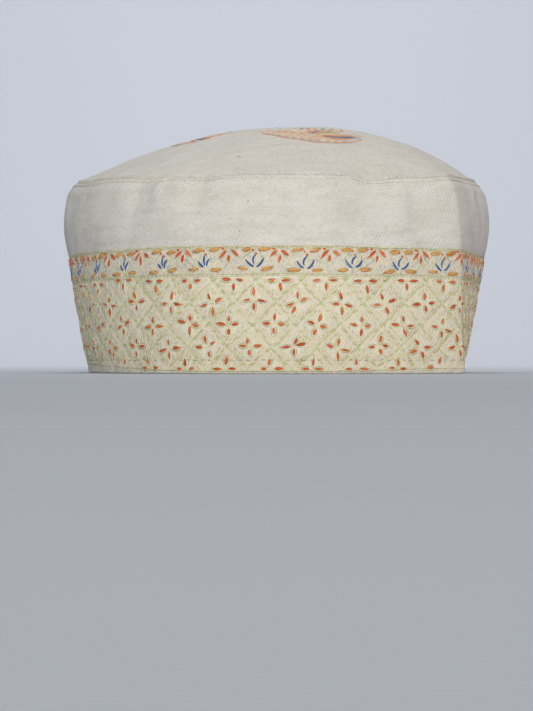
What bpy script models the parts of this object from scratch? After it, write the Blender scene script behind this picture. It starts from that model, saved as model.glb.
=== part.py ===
"""A round cap of the Kashmiri kind: a domed crown sewn to a plain wall, over a deep embroidered band.

Metres, +Z up. The rim stands on z = 0, and the front of the cap faces -Y.
"""

from collections import namedtuple
from math import cos, degrees, exp, hypot, pi, radians, sin

import bmesh
import bpy
from mathutils import Vector

# Driving sizes of the cap, measured on the outside of the cloth
WIDTH = 0.182
LENGTH = 0.196
BAND_HEIGHT = 0.049
WALL_HEIGHT = 0.028
CROWN_RISE = 0.028

# The crown's seam lies higher over the ears, and the dome's top lies to the right of the middle
SEAM_LIFT = 0.0034
APEX_SHIFT = 0.0105

# Cloth, folds and seams
CLOTH_THICKNESS = 0.002
BAND_THICKNESS = 0.0024
HEM_HEIGHT = 0.003
SEAM_TURN = 0.0015
SEAM_GAP = 0.0003
CREASE_DEPTH = 0.0155
DENT_DEPTH = 0.003

# The form between those sizes: the plan is a superellipse, and the crown flattens towards its top
PLAN_POWER = 2.1
DOME_POWER = 2.1
CREASE_ROUNDING = radians(1.5)
CREASE_POWER = 2.4
DENT_DROP = 0.6
CROWN_LEVELS = 3.0
COLUMNS = 96

# Levels run from 0 at the rim through 1 at the band's top edge to 2 at the crown's seam.
# Width and length are shares of WIDTH and LENGTH, and crease is a share of CREASE_DEPTH.
Section = namedtuple("Section", "level width length crease")
SECTIONS = (
    Section(0.00, 0.884, 0.986, 1.00),
    Section(0.25, 0.908, 0.991, 0.86),
    Section(0.50, 0.934, 0.996, 0.72),
    Section(0.75, 0.959, 1.000, 0.60),
    Section(1.00, 0.978, 1.000, 0.52),
    Section(1.20, 0.993, 0.991, 0.50),
    Section(1.42, 1.000, 0.971, 0.50),
    Section(1.66, 0.993, 0.938, 0.54),
    Section(1.84, 0.977, 0.906, 0.58),
    Section(2.00, 0.945, 0.872, 0.62),
)
BAND_LEVELS = (0.25, 0.50, 0.75)
WALL_LEVELS = (1.20, 1.42, 1.66, 1.84)
CROWN_SHARES = (0.93, 0.83, 0.70, 0.55, 0.38, 0.20)

# Folds pressed outwards from rim to crown: the sharp one at the front right, a soft one opposite.
# Angles are in degrees round from the front towards +X, and depth is a share of CREASE_DEPTH.
# Before and after are the degrees over which the fold dies away on each side of its tip.
Crease = namedtuple("Crease", "angle depth before after")
CREASES = (
    Crease(43.7, 1.00, 42.0, 29.0),
    Crease(223.7, 0.40, 42.0, 29.0),
)

# Soft dents in the wall and the crown's edge. Spread is in degrees, reach is in levels,
# and depth is a share of DENT_DEPTH. Levels past 2 are on the crown.
Dent = namedtuple("Dent", "angle spread level reach depth")
DENTS = (
    Dent(25.5, 5.5, 2.00, 0.50, 1.00),
    Dent(35.0, 4.5, 1.50, 0.50, 0.85),
    Dent(-20.0, 5.0, 1.90, 0.45, 0.45),
    Dent(-36.0, 6.0, 1.60, 0.60, 0.50),
    Dent(128.0, 9.0, 1.80, 0.70, 0.60),
    Dent(205.0, 8.0, 1.90, 0.60, 0.60),
    Dent(296.0, 9.0, 1.70, 0.70, 0.50),
)

CREAM = (0.66, 0.63, 0.55, 1.0)
WARM_CREAM = (0.68, 0.65, 0.57, 1.0)
BAND_CREAM = (0.63, 0.60, 0.44, 1.0)
CLOTH_ROUGHNESS = 0.9


def clear_scene():
    for old in list(bpy.data.objects):
        bpy.data.objects.remove(old, do_unlink=True)


def section_at(level):
    """The section at a level, on a smooth curve through the rows of SECTIONS."""
    last = len(SECTIONS) - 1
    row = max(n for n in range(last) if SECTIONS[n].level <= max(level, 0.0))
    low, high = SECTIONS[row], SECTIONS[row + 1]
    before, after = SECTIONS[max(row - 1, 0)], SECTIONS[min(row + 2, last)]
    step = high.level - low.level
    t = (level - low.level) / step
    values = []
    for a, b, c, d in zip(before, low, high, after):
        into = step * (c - a) / (high.level - before.level)
        out_of = step * (d - b) / (after.level - low.level)
        bend = into * (t - 2 * t**2 + t**3) + out_of * (t**3 - t**2)
        values.append(b + (c - b) * (3 * t**2 - 2 * t**3) + bend)
    return Section(*values)


def plan_radius(angle, section):
    """Distance from the middle to the cloth, before creases and dents."""
    across = abs(sin(angle)) / (section.width * WIDTH / 2)
    along = abs(cos(angle)) / (section.length * LENGTH / 2)
    return (across**PLAN_POWER + along**PLAN_POWER) ** (-1 / PLAN_POWER)


def turn_from(start, angle):
    """The turn from one angle to another, between minus and plus half a turn."""
    return (angle - start + pi) % (2 * pi) - pi


def crease_height(angle):
    """How far the creases push the cloth outwards, with their tips slightly rounded."""
    height = 0.0
    for crease in CREASES:
        turn = turn_from(radians(crease.angle), angle)
        spread = radians(crease.after if turn > 0 else crease.before)
        away = hypot(turn, CREASE_ROUNDING) - CREASE_ROUNDING
        height += crease.depth * max(0.0, 1 - away / spread) ** CREASE_POWER
    return height * CREASE_DEPTH


def dent_depth(angle, level):
    depth = 0.0
    for dent in DENTS:
        across = degrees(turn_from(radians(dent.angle), angle)) / dent.spread
        along = (level - dent.level) / dent.reach
        depth += dent.depth * exp(-(across**2) - along**2)
    return depth * DENT_DEPTH


def seam_height(angle):
    return WALL_HEIGHT + SEAM_LIFT * sin(angle) ** 4


def wall_point(angle, level, height=None):
    """A point of the outer cloth between the rim and the crown's seam."""
    section = section_at(level)
    dent = dent_depth(angle, level)
    radius = plan_radius(angle, section) + section.crease * crease_height(angle) - dent
    if height is None:
        on_wall = max(level - 1, 0.0)
        height = BAND_HEIGHT * min(level, 1.0) + on_wall * (seam_height(angle) - DENT_DROP * dent)
    return Vector((radius * sin(angle), -radius * cos(angle), height))


def crown_point(angle, share):
    """A point of the outer crown. Share is 1 at its seam and 0 at the dome's top."""
    section = SECTIONS[-1]
    dent = dent_depth(angle, 2 + CROWN_LEVELS * (1 - share))
    creased = section.crease * crease_height(angle) * share**CREASE_POWER
    radius = plan_radius(angle, section) * share + creased - dent * share
    shift = APEX_SHIFT * (1 - share**2)
    fall = (CROWN_RISE + WALL_HEIGHT - seam_height(angle)) * share**DOME_POWER
    height = BAND_HEIGHT + WALL_HEIGHT + CROWN_RISE - fall - DENT_DROP * dent * share
    return Vector((radius * sin(angle) + shift, -radius * cos(angle), height))


def ring(point, *place):
    """One point for each column of the cap, starting at the front."""
    return [point(2 * pi * n / COLUMNS, *place) for n in range(COLUMNS)]


def seam_edges(below, above):
    """The two edges that meet in a seam midway between two rings, with the seam's gap between them."""
    lower, upper = [], []
    for start, end in zip(below, above):
        half_gap = (end - start).normalized() * SEAM_GAP / 2
        middle = (start + end) / 2
        lower.append(middle - half_gap)
        upper.append(middle + half_gap)
    return lower, upper


def cloth_material(name, colour):
    material = bpy.data.materials.new(name)
    material.use_nodes = True
    shader = material.node_tree.nodes["Principled BSDF"]
    shader.inputs["Base Color"].default_value = colour
    shader.inputs["Roughness"].default_value = CLOTH_ROUGHNESS
    shader.inputs["Metallic"].default_value = 0.0
    return material


def make_shell(name, rings, thickness, colour, collection, top=None):
    """A shell of cloth through the rings of points, closed at the top when a top point is given."""
    surface = bmesh.new()
    rows = [[surface.verts.new(point) for point in points] for points in rings]
    for lower, upper in zip(rows, rows[1:]):
        for n in range(COLUMNS):
            after = (n + 1) % COLUMNS
            surface.faces.new((lower[n], lower[after], upper[after], upper[n]))
    if top is not None:
        tip = surface.verts.new(top)
        for n in range(COLUMNS):
            surface.faces.new((rows[-1][n], rows[-1][(n + 1) % COLUMNS], tip))
    mesh = bpy.data.meshes.new(name)
    surface.to_mesh(mesh)
    surface.free()
    mesh.materials.append(cloth_material(name, colour))
    mesh.shade_smooth()
    shell = bpy.data.objects.new(name, mesh)
    collection.objects.link(shell)
    solidify = shell.modifiers.new("Cloth", "SOLIDIFY")
    solidify.thickness = thickness
    solidify.offset = -1
    solidify.use_even_offset = True
    return shell


def build_cap():
    clear_scene()
    collection = bpy.data.collections.new("kashmiri_cap")
    bpy.context.scene.collection.children.link(collection)

    turn_on_band = SEAM_TURN / BAND_HEIGHT
    turn_on_wall = SEAM_TURN / WALL_HEIGHT
    turn_on_crown = SEAM_TURN / (LENGTH / 2)

    band_top = ring(wall_point, 1 - turn_on_band)
    wall_foot = ring(wall_point, 1 + turn_on_wall)
    wall_top = ring(wall_point, 2 - turn_on_wall)
    crown_foot = ring(crown_point, 1 - turn_on_crown)
    band_edge, wall_lower_edge = seam_edges(band_top, wall_foot)
    wall_upper_edge, crown_edge = seam_edges(wall_top, crown_foot)

    hem = [ring(wall_point, 0.0, 0.0), ring(wall_point, 0.0, HEM_HEIGHT)]
    band = hem + [ring(wall_point, level) for level in BAND_LEVELS] + [band_top, band_edge]
    make_shell("embroidered_band", band, BAND_THICKNESS, BAND_CREAM, collection)

    wall = [ring(wall_point, level) for level in WALL_LEVELS]
    wall = [wall_lower_edge, wall_foot] + wall + [wall_top, wall_upper_edge]
    make_shell("side_wall", wall, CLOTH_THICKNESS, WARM_CREAM, collection)

    crown = [crown_edge, crown_foot] + [ring(crown_point, share) for share in CROWN_SHARES]
    top = crown_point(0.0, 0.0)
    make_shell("crown_top", crown, CLOTH_THICKNESS, CREAM, collection, top)


build_cap()
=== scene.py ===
import math

import bpy
import numpy as np
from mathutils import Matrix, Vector


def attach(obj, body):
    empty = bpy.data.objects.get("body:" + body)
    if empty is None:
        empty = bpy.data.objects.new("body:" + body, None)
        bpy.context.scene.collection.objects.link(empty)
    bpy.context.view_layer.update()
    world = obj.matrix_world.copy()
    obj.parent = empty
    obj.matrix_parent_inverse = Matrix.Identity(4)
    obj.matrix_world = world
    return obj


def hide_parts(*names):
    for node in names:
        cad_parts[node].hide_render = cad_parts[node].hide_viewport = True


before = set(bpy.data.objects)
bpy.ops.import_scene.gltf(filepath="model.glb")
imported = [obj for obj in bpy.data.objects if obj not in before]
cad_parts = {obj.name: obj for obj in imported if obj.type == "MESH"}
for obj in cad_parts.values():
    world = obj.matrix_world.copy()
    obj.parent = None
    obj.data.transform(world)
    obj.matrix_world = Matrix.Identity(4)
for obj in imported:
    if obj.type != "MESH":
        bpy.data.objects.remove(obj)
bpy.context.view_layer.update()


# Side wall
# The plain upper strip of the cap, one length of cream wool twill that leans in to the crown.
# Its seam allowance is pressed down and topstitched under the crown's seam, and its ends are
# joined at the back. It carries one fold pressed at the front right and a few soft dents.
TURN = 2 * math.pi
MM = 0.001
WIDTH = 182 * MM
LENGTH = 196 * MM
BAND_HEIGHT = 49 * MM
WALL_HEIGHT = 28 * MM
HEM_HEIGHT = 3 * MM
SEAM_LIFT = 3.4 * MM
PLAN_POWER = 2.1
CLOTH_THICKNESS = 2 * MM

# Level, share of the width, share of the length, and share of the crease's depth.
# Level 0 is the rim, 1 the band's top edge, and 2 the crown's seam.
SECTIONS = np.array((
    (0.00, 0.884, 0.986, 1.00),
    (0.25, 0.908, 0.991, 0.86),
    (0.50, 0.934, 0.996, 0.72),
    (0.75, 0.959, 1.000, 0.60),
    (1.00, 0.978, 1.000, 0.52),
    (1.20, 0.993, 0.991, 0.50),
    (1.42, 1.000, 0.971, 0.50),
    (1.66, 0.993, 0.938, 0.54),
    (1.84, 0.977, 0.906, 0.58),
    (2.00, 0.945, 0.872, 0.62),
))

# Angle from the front, share of the depth, and the degrees over which the fold dies away on each side.
# The setback keeps the rounded tip as far out as a sharp one would be.
CREASES = ((43.7, 1.00, 42.0, 29.0), (223.7, 0.40, 42.0, 29.0))
CREASE_DEPTH = 15.5 * MM
CREASE_ROUNDING = math.radians(0.7)
CREASE_SETBACK = math.radians(1.1)
CREASE_POWER = 2.4

# Angle, spread in degrees, level, reach in levels, and share of the depth
DENTS = (
    (25.5, 5.5, 2.00, 0.50, 1.00),
    (35.0, 4.5, 1.50, 0.50, 0.85),
    (-20.0, 5.0, 1.90, 0.45, 0.45),
    (-36.0, 6.0, 1.60, 0.60, 0.50),
    (128.0, 9.0, 1.80, 0.70, 0.60),
    (205.0, 8.0, 1.90, 0.60, 0.60),
    (296.0, 9.0, 1.70, 0.70, 0.50),
)
DENT_DEPTH = 3 * MM
DENT_DROP = 0.6

# Small puckers that the seam draws in the cloth below it: angle, spread, level, reach, and height in mm
PUCKERS = (
    (-37.5, 1.6, 1.70, 0.35, -0.55),
    (-31.5, 1.4, 1.86, 0.22, 0.60),
    (-28.6, 1.2, 1.84, 0.24, -0.55),
    (-24.0, 1.9, 1.84, 0.25, 0.45),
    (-19.0, 1.5, 1.88, 0.20, -0.50),
    (19.5, 1.5, 1.85, 0.20, 0.35),
    (30.5, 1.8, 1.75, 0.35, 0.50),
    (60.0, 2.2, 1.80, 0.30, 0.55),
    (66.0, 2.0, 1.75, 0.30, -0.50),
    (98.0, 2.4, 1.82, 0.25, 0.45),
    (-62.0, 2.2, 1.80, 0.30, 0.50),
    (-71.0, 2.0, 1.84, 0.25, -0.45),
    (-101.0, 2.4, 1.80, 0.30, 0.50),
    (152.0, 2.2, 1.84, 0.25, 0.50),
    (171.0, 2.0, 1.82, 0.25, -0.45),
    (238.0, 2.4, 1.80, 0.30, 0.45),
)

# The slight unevenness of soft cloth: height in mm, waves round the cap, lean for each mm up, and start
HAND_WAVES = ((0.30, 7, 0.05, 0.6), (0.20, 13, -0.09, 2.1), (0.12, 29, 0.17, 4.0), (0.07, 53, -0.23, 1.3))

# The seam stands out level with the cloth by the first share and upwards by the second
RELIEF_OUT = 0.75
RELIEF_UP = 0.66


def coords(*parts):
    """Arrays or numbers side by side, as the coordinates of points."""
    return np.stack(np.broadcast_arrays(*parts), axis=-1)


def unit(vectors):
    return vectors / np.linalg.norm(vectors, axis=-1, keepdims=True)


def round_points(angle, radius, up):
    """Points at an angle from the front, a distance from the middle and a height."""
    return coords(radius * np.sin(angle), -radius * np.cos(angle), up)


def reach_along(points):
    """The distance along each row of points from its start."""
    lengths = np.linalg.norm(np.diff(points, axis=-2), axis=-1)
    return np.concatenate((np.zeros((*lengths.shape[:-1], 1)), np.cumsum(lengths, axis=-1)), axis=-1)


def ease(start, end, value):
    """A smooth step from 0 at start to 1 at end."""
    t = np.clip((value - start) / (end - start), 0, 1)
    return t * t * (3 - 2 * t)


def hump(value, middle, spread):
    """A soft hump, 1 high in its middle."""
    return np.exp(-(((value - middle) / spread) ** 2))


def turn_from(start, angle):
    """The turn from one angle to another, between minus and plus half a turn."""
    return (angle - start + math.pi) % TURN - math.pi


def section_at(level):
    """The sections at these levels, on a smooth curve through the rows."""
    last = len(SECTIONS) - 1
    row = np.clip(np.searchsorted(SECTIONS[:, 0], level, side="right") - 1, 0, last - 1)
    low, high = SECTIONS[row], SECTIONS[row + 1]
    before, after = SECTIONS[np.maximum(row - 1, 0)], SECTIONS[np.minimum(row + 2, last)]
    step = (high - low)[..., :1]
    t = (level[..., None] - low[..., :1]) / step
    into = step * (high - before) / (high - before)[..., :1]
    out_of = step * (after - low) / (after - low)[..., :1]
    bend = into * (t - 2 * t**2 + t**3) + out_of * (t**3 - t**2)
    return low + (high - low) * (3 * t**2 - 2 * t**3) + bend


def plan_radius(angle, section):
    across = np.abs(np.sin(angle)) / (section[..., 1] * WIDTH / 2)
    along = np.abs(np.cos(angle)) / (section[..., 2] * LENGTH / 2)
    return (across**PLAN_POWER + along**PLAN_POWER) ** (-1 / PLAN_POWER)


def crease_height(angle):
    height = 0
    for place, depth, before, after in CREASES:
        turn = turn_from(math.radians(place), angle)
        spread = np.radians(np.where(turn > 0, after, before))
        away = np.hypot(turn, CREASE_ROUNDING) - CREASE_SETBACK
        height = height + depth * np.maximum(0, 1 - away / spread) ** CREASE_POWER
    return height * CREASE_DEPTH


def soft_rows(rows, angle, level):
    """Sum of soft round dents or puckers, each a row of angle, spread, level, reach and depth."""
    total = 0
    for place, spread, middle, reach, depth in rows:
        across = np.degrees(turn_from(math.radians(place), angle))
        total = total + depth * hump(across, 0, spread) * hump(level, middle, reach)
    return total


def seam_height(angle):
    return WALL_HEIGHT + SEAM_LIFT * np.sin(angle) ** 4


def seam_relief(below):
    """Relief of the crown's seam, from the distance below it in millimetres."""
    groove = -0.50 * hump(below, 0, 0.40)
    rolled_edge = 0.62 * hump(below, -1.45, 0.85)
    allowance = 0.42 * ease(0.1, 0.7, below) * (1 - ease(4.4, 6.8, below))
    stitched_down = -0.30 * hump(below, 1.75, 0.42)
    return groove + rolled_edge + allowance + stitched_down


def side_surface(angle, level):
    """Points of the outer cloth from the rim to the crown's seam."""
    first = SECTIONS[1, 0]
    above_hem = (level * BAND_HEIGHT - HEM_HEIGHT) / (first * BAND_HEIGHT - HEM_HEIGHT)
    section = section_at(np.where(level < first, np.clip(above_hem, 0, 1) * first, level))
    dent = soft_rows(DENTS, angle, level) * DENT_DEPTH
    radius = plan_radius(angle, section) + section[..., 3] * crease_height(angle) - dent
    on_wall = np.maximum(level - 1, 0)
    up = BAND_HEIGHT * np.minimum(level, 1) + on_wall * (seam_height(angle) - DENT_DROP * dent)
    below_seam = (2 - level) * WALL_HEIGHT / MM
    waves = sum(
        high * np.sin(count * angle + lean * up / MM + start)
        for high, count, lean, start in HAND_WAVES
    )
    soft = waves * ease(0, 8, below_seam) * ease(0, 6, up / MM) + soft_rows(PUCKERS, angle, level)
    back_join = -0.45 * hump(turn_from(math.pi, angle) * 95, 0, 0.7)
    radius = radius + (soft + back_join) * MM
    relief = seam_relief(below_seam) * MM
    return round_points(angle, radius + RELIEF_OUT * relief, up + RELIEF_UP * relief)


# Distance round the cap at the middle of the band, in millimetres from the front
ROUND_ANGLES = np.linspace(-math.pi, math.pi, 7201)
ROUND_LENGTHS = reach_along(side_surface(ROUND_ANGLES, np.full_like(ROUND_ANGLES, 0.5))) / MM
AROUND = ROUND_LENGTHS[-1]
ROUND_LENGTHS = ROUND_LENGTHS - np.interp(0, ROUND_ANGLES, ROUND_LENGTHS)
BACK = ROUND_LENGTHS[0]


def angle_at(around):
    return np.interp((around - BACK) % AROUND + BACK, ROUND_LENGTHS, ROUND_ANGLES)


def around_at(angle):
    return np.interp(turn_from(0, angle), ROUND_ANGLES, ROUND_LENGTHS)


def all_round(count):
    """The angles of this many columns of points, with the first again at the end."""
    return np.arange(count + 1) / count * TURN


def flat_place(angle, up, face=0):
    """Where rings of points lie on a flat strip of cloth, in millimetres."""
    return coords(np.unwrap(around_at(angle), period=AROUND), up, face)


def inside_of(points, thickness):
    """The same grid of points, moved inwards by the cloth's thickness."""
    round_way = np.roll(points, -1, axis=1) - np.roll(points, 1, axis=1)
    return points - unit(np.cross(round_way, np.gradient(points, axis=0))) * thickness


def new_piece(name, points, quads, triangles, material):
    """A smooth piece from arrays of points, four-sided faces and three-sided faces."""
    mesh = bpy.data.meshes.new(name)
    corners = np.concatenate((quads.ravel(), triangles.ravel())).astype(np.int32)
    sizes = np.concatenate((np.full(len(quads), 4), np.full(len(triangles), 3)))
    starts = np.append(0, np.cumsum(sizes)[:-1]).astype(np.int32)
    mesh.vertices.add(len(points))
    mesh.vertices.foreach_set("co", points.astype(np.float32).ravel())
    mesh.loops.add(len(corners))
    mesh.loops.foreach_set("vertex_index", corners)
    mesh.polygons.add(len(sizes))
    mesh.polygons.foreach_set("loop_start", starts)
    mesh.polygons.foreach_set("use_smooth", np.ones(len(sizes), bool))
    mesh.update(calc_edges=True)
    mesh.materials.append(material)
    piece = bpy.data.objects.new(name, mesh)
    bpy.context.scene.collection.objects.link(piece)
    return piece


def mark(piece, name, domain, vectors):
    """Keeps a vector on each point or corner of a piece, for its material to read."""
    marks = piece.data.attributes.new(name, "FLOAT_VECTOR", domain)
    marks.data.foreach_set("vector", vectors.astype(np.float32).ravel())


def cloth_piece(name, material, outer, inner, outer_place, inner_place, tips=None):
    """A closed shell of cloth. Outer rings run upwards or inwards, and inner rings run back again.

    Each ring is a row of points round the cap. The places are the threads' own coordinates on the
    flat cloth, in millimetres, with one column more than the rings where they close. Tips are the
    outer and inner points at the middle of a dome.
    """
    rings = np.concatenate((outer, inner))
    places = np.concatenate((outer_place, inner_place))
    rows, columns = rings.shape[:2]
    strips = np.arange(rows)
    if tips is not None:
        strips = np.delete(strips, len(outer) - 1)
    low = strips[:, None]
    high = (low + 1) % rows
    left = np.arange(columns)[None, :]
    right = (left + 1) % columns
    quads = coords(low * columns + left, low * columns + right, high * columns + right, high * columns + left)
    corners = (places[low, left], places[low, left + 1], places[high, left + 1], places[high, left])
    corner_places = np.stack(corners, axis=2).reshape(-1, 3)
    points = rings.reshape(-1, 3)
    triangles = np.zeros((0, 3), int)
    if tips is not None:
        first = (len(outer) - 1) * columns
        second = first + columns
        left, right = left[0], right[0]
        outer_fan = coords(first + left, first + right, len(points))
        inner_fan = coords(second + right, second + left, len(points) + 1)
        triangles = np.concatenate((outer_fan, inner_fan))
        point_places = np.concatenate((places[:, :columns].reshape(-1, 3), np.zeros((2, 3))))
        corner_places = np.concatenate((corner_places, point_places[triangles.ravel()]))
        points = np.concatenate((points, np.array(tips)))
    piece = new_piece(name, points, quads.reshape(-1, 4), triangles, material)
    mark(piece, "threads_mm", "CORNER", corner_places)
    piece.data.set_sharp_from_angle(angle=math.radians(50))
    return piece


def tint(red, green, blue):
    """A colour seen in plain light, as a shader's colour."""
    seen = np.array((red, green, blue)) / 255
    return (*(np.where(seen > 0.04045, ((seen + 0.055) / 1.055) ** 2.4, seen / 12.92)), 1.0)


WHITE = (255, 255, 255)


class Nodes:
    """A short hand for building a material's nodes."""

    def __init__(self, name):
        self.material = bpy.data.materials.new(name)
        self.material.use_nodes = True
        self.tree = self.material.node_tree
        self.shader = self.tree.nodes["Principled BSDF"]

    def put(self, node, inputs):
        """Sets or links a node's inputs."""
        for socket, value in inputs.items():
            if isinstance(value, bpy.types.NodeSocket):
                self.tree.links.new(value, node.inputs[socket])
            else:
                node.inputs[socket].default_value = value
        return node

    def new(self, kind, inputs):
        return self.put(self.tree.nodes.new("ShaderNode" + kind), inputs)

    def place(self, attribute):
        node = self.new("Attribute", {})
        node.attribute_name = attribute
        return node.outputs["Vector"]

    def math(self, operation, first, second=0.0):
        node = self.new("Math", {0: first, 1: second})
        node.operation = operation
        return node.outputs[0]

    def along(self, vector, direction):
        node = self.new("VectorMath", {0: vector, 1: direction})
        node.operation = "DOT_PRODUCT"
        return node.outputs["Value"]

    def noise(self, vector, scale, detail=3.0, roughness=0.6):
        inputs = {"Vector": vector, "Scale": scale, "Detail": detail, "Roughness": roughness}
        return self.new("TexNoise", inputs).outputs["Fac"]

    def ramp(self, value, *stops):
        """A value turned into colours. Each stop is a place and a colour seen in plain light."""
        node = self.new("ValToRGB", {0: value})
        for _ in stops[2:]:
            node.color_ramp.elements.new(0.5)
        for element, (place, colour) in zip(node.color_ramp.elements, stops):
            element.position = place
            element.color = tint(*colour)
        return node.outputs["Color"]

    def mix(self, share, first, second, blend="MIX"):
        node = self.new("Mix", {})
        node.data_type = "RGBA"
        node.blend_type = blend
        return self.put(node, {0: share, 6: first, 7: second}).outputs[2]

    def shade(self, colour, share, value, *stops):
        """A colour made darker by a share of a ramp."""
        return self.mix(share, colour, self.ramp(value, *stops), "MULTIPLY")

    def finish(self, colour, height, depth, roughness, sheen):
        bump = self.new("Bump", {"Strength": 1.0, "Distance": depth, "Height": height})
        self.put(self.shader, {
            "Normal": bump.outputs["Normal"],
            "Base Color": colour,
            "Roughness": roughness,
            "Specular IOR Level": 0.25,
            "Sheen Weight": sheen,
            "Sheen Roughness": 0.6,
        })
        return self.material


TWILL_RIB = 1.35
WALL_RIBS = (1.0, -0.55, 0.0)
CROWN_RIBS = (0.42, 0.92, 0.0)


def twill_height(nodes, threads, rib_way):
    """Diagonal ribs of the weave, with the finer threads across them and wool fuzz over all."""
    drift = nodes.math("MULTIPLY", nodes.noise(threads, 0.25, 2.0), 5.0)
    rib = nodes.along(threads, [TURN / TWILL_RIB * share for share in rib_way])
    rib = nodes.math("SINE", nodes.math("ADD", rib, drift))
    patches = nodes.ramp(nodes.noise(threads, 0.05, 3.0), (0.38, (60, 60, 60)), (0.64, WHITE))
    raised = nodes.math("MULTIPLY", patches, nodes.noise(threads, 0.8))
    rib = nodes.math("MULTIPLY", rib, nodes.math("MULTIPLY", raised, 2.0))
    yarn = nodes.along(threads, (TURN / 0.55, TURN / 0.8, 0))
    yarn = nodes.math("SINE", nodes.math("ADD", yarn, drift))
    fuzz = nodes.noise(threads, 2.2, 4.0, 0.7)
    height = nodes.math("ADD", nodes.math("MULTIPLY", rib, 0.8), nodes.math("MULTIPLY", yarn, 0.12))
    return nodes.math("ADD", height, nodes.math("MULTIPLY", fuzz, 1.4)), fuzz, rib


def wool_twill(name, pale, middle, deep, rib_way):
    """Cream wool twill: mottled by hand spinning, with matt, faintly hairy ribs."""
    nodes = Nodes(name)
    threads = nodes.place("threads_mm")
    height, fuzz, rib = twill_height(nodes, threads, rib_way)
    stretched = nodes.new("Mapping", {"Vector": threads, "Scale": (0.35, 1.5, 1.0)}).outputs["Vector"]
    slubs = nodes.noise(stretched, 0.16, 6.0, 0.72)
    colour = nodes.ramp(slubs, (0.30, deep), (0.52, middle), (0.75, pale))
    # Painted shade: the colour is darker where the wool fuzz and the twill ribs sink, as in their hollows.
    colour = nodes.shade(colour, 0.42, fuzz, (0.28, (186, 181, 172)), (0.58, WHITE))
    flecks = nodes.noise(stretched, 1.3, 3.0, 0.7)
    colour = nodes.shade(colour, 0.42, flecks, (0.36, (214, 211, 200)), (0.56, WHITE))
    rib_shade = nodes.math("ADD", nodes.math("MULTIPLY", rib, 0.5), 0.5)
    colour = nodes.shade(colour, 0.36, rib_shade, (0.0, (222, 217, 208)), (1.0, WHITE))
    return nodes.finish(colour, height, 0.14 * MM, 0.92, 0.12)


# Rings of points lie closer together in the last 8.5 mm below the seam, where the cloth has its relief.
# The inner face takes only some of the rings, and its weave is cut from another layer of the pattern.
WALL_COLUMNS = 1080
INNER_FACE = (0, 0, 5)
near_seam = np.linspace(0, 1, 23) ** 1.25 * 8.5
wall_levels = 2 - np.concatenate((np.linspace(28, 9.6, 17), near_seam[::-1])) * MM / WALL_HEIGHT
angles, levels = np.meshgrid(all_round(WALL_COLUMNS), wall_levels)
wall_outer = side_surface(angles, levels)[:, :-1]
wall_place = flat_place(angles, (BAND_HEIGHT + (levels - 1) * WALL_HEIGHT) / MM)
inner_rows = [0, 8, 17, 25, 33, len(wall_levels) - 1]
side_wall = cloth_piece(
    "side_wall_cloth",
    wool_twill("cream_wool_twill", (249, 247, 241), (241, 238, 230), (226, 223, 214), WALL_RIBS),
    wall_outer, inside_of(wall_outer, CLOTH_THICKNESS)[inner_rows][::-1],
    wall_place, wall_place[inner_rows][::-1] + INNER_FACE,
)
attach(side_wall, "root")
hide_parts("side_wall")


# Embroidered band
# The deep lower strip, of the same twill, which is covered in fine stitches and so lies stiffer.
# The stitched lines draw the cloth in, the lower edge is turned up inside as a hem, and the pale
# yellow-green thread of the ground tints the whole strip.
HEM_FOLD = 8.0
FLOWER_COLUMNS = 35
COLUMN_PITCH = AROUND / FLOWER_COLUMNS
COLUMN_DRIFT = 0.7
FIRST_ROW_UP = 35.6
ROW_DROP = 8.45
DIAGONAL = 1.42
LEAN = 0.106
FIRST_COLUMN = 0.5
BORDER_FOOT = 37.6
BORDER_TOP = 48.3

column_table = np.linspace(-FLOWER_COLUMNS, FLOWER_COLUMNS, 4001)
around_table = COLUMN_PITCH * column_table + COLUMN_DRIFT * np.sin(TURN * column_table / FLOWER_COLUMNS)


def around_of(column, up):
    """Distance round the cap of a column of flowers, which leans with the height."""
    around = np.interp(column, column_table, around_table)
    return around + FIRST_COLUMN - LEAN * (FIRST_ROW_UP - up)


def trellis_place(around, up):
    """The place on the trellis: whole numbers are flowers, and halves are lines."""
    upright = around - FIRST_COLUMN + LEAN * (FIRST_ROW_UP - up)
    column = np.interp(upright, around_table, column_table)
    fall = (up - FIRST_ROW_UP) / (2 * ROW_DROP)
    return column + fall, column - fall


def to_lines(around, up):
    """Distances in millimetres to the nearest rising line and the nearest falling line."""
    return [np.abs(place % 1 - 0.5) * COLUMN_PITCH / DIAGONAL for place in trellis_place(around, up)]


def hem_line(around):
    """The height of the needlework's lower edge, which climbs from the rim towards the sides."""
    angle = angle_at(around)
    left = 2.9 * ease(0.25, 1.25, -angle)
    right = 0.9 * ease(0.2, 0.7, angle) + 1.2 * ease(1.0, 2.0, angle)
    return 1.1 + left + right


def quilting(around, up):
    """How the stitched lines draw the cloth in, in millimetres."""
    lines_here = sum(hump(distance, 0, 0.8) for distance in to_lines(around, up))
    trellis = -0.32 * np.minimum(lines_here, 1.2) * (1 - ease(BORDER_FOOT - 1, BORDER_FOOT, up))
    edges = -0.20 * hump(up, BORDER_FOOT, 0.7) - 0.20 * hump(up, BORDER_TOP, 0.7)
    puffed = 0.16 * np.sin(around * 2.3 + 3 * np.sin(up * 0.9)) * np.sin(up * 2.0 + 2 * np.sin(around * 0.7))
    hem_step = -0.22 * hump(up, HEM_FOLD * 0.66, 0.8)
    shown = ease(0.6, 2.0, up) * (1 - ease(47.6, 49.0, up))
    return trellis + edges + (puffed + hem_step) * shown


def band_surface(angle, up):
    """Points of the band's outer cloth, from the angle and the height in millimetres."""
    sunk = quilting(around_at(angle), up) * MM
    return side_surface(angle, up * MM / BAND_HEIGHT) + round_points(angle, sunk, 0)


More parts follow.
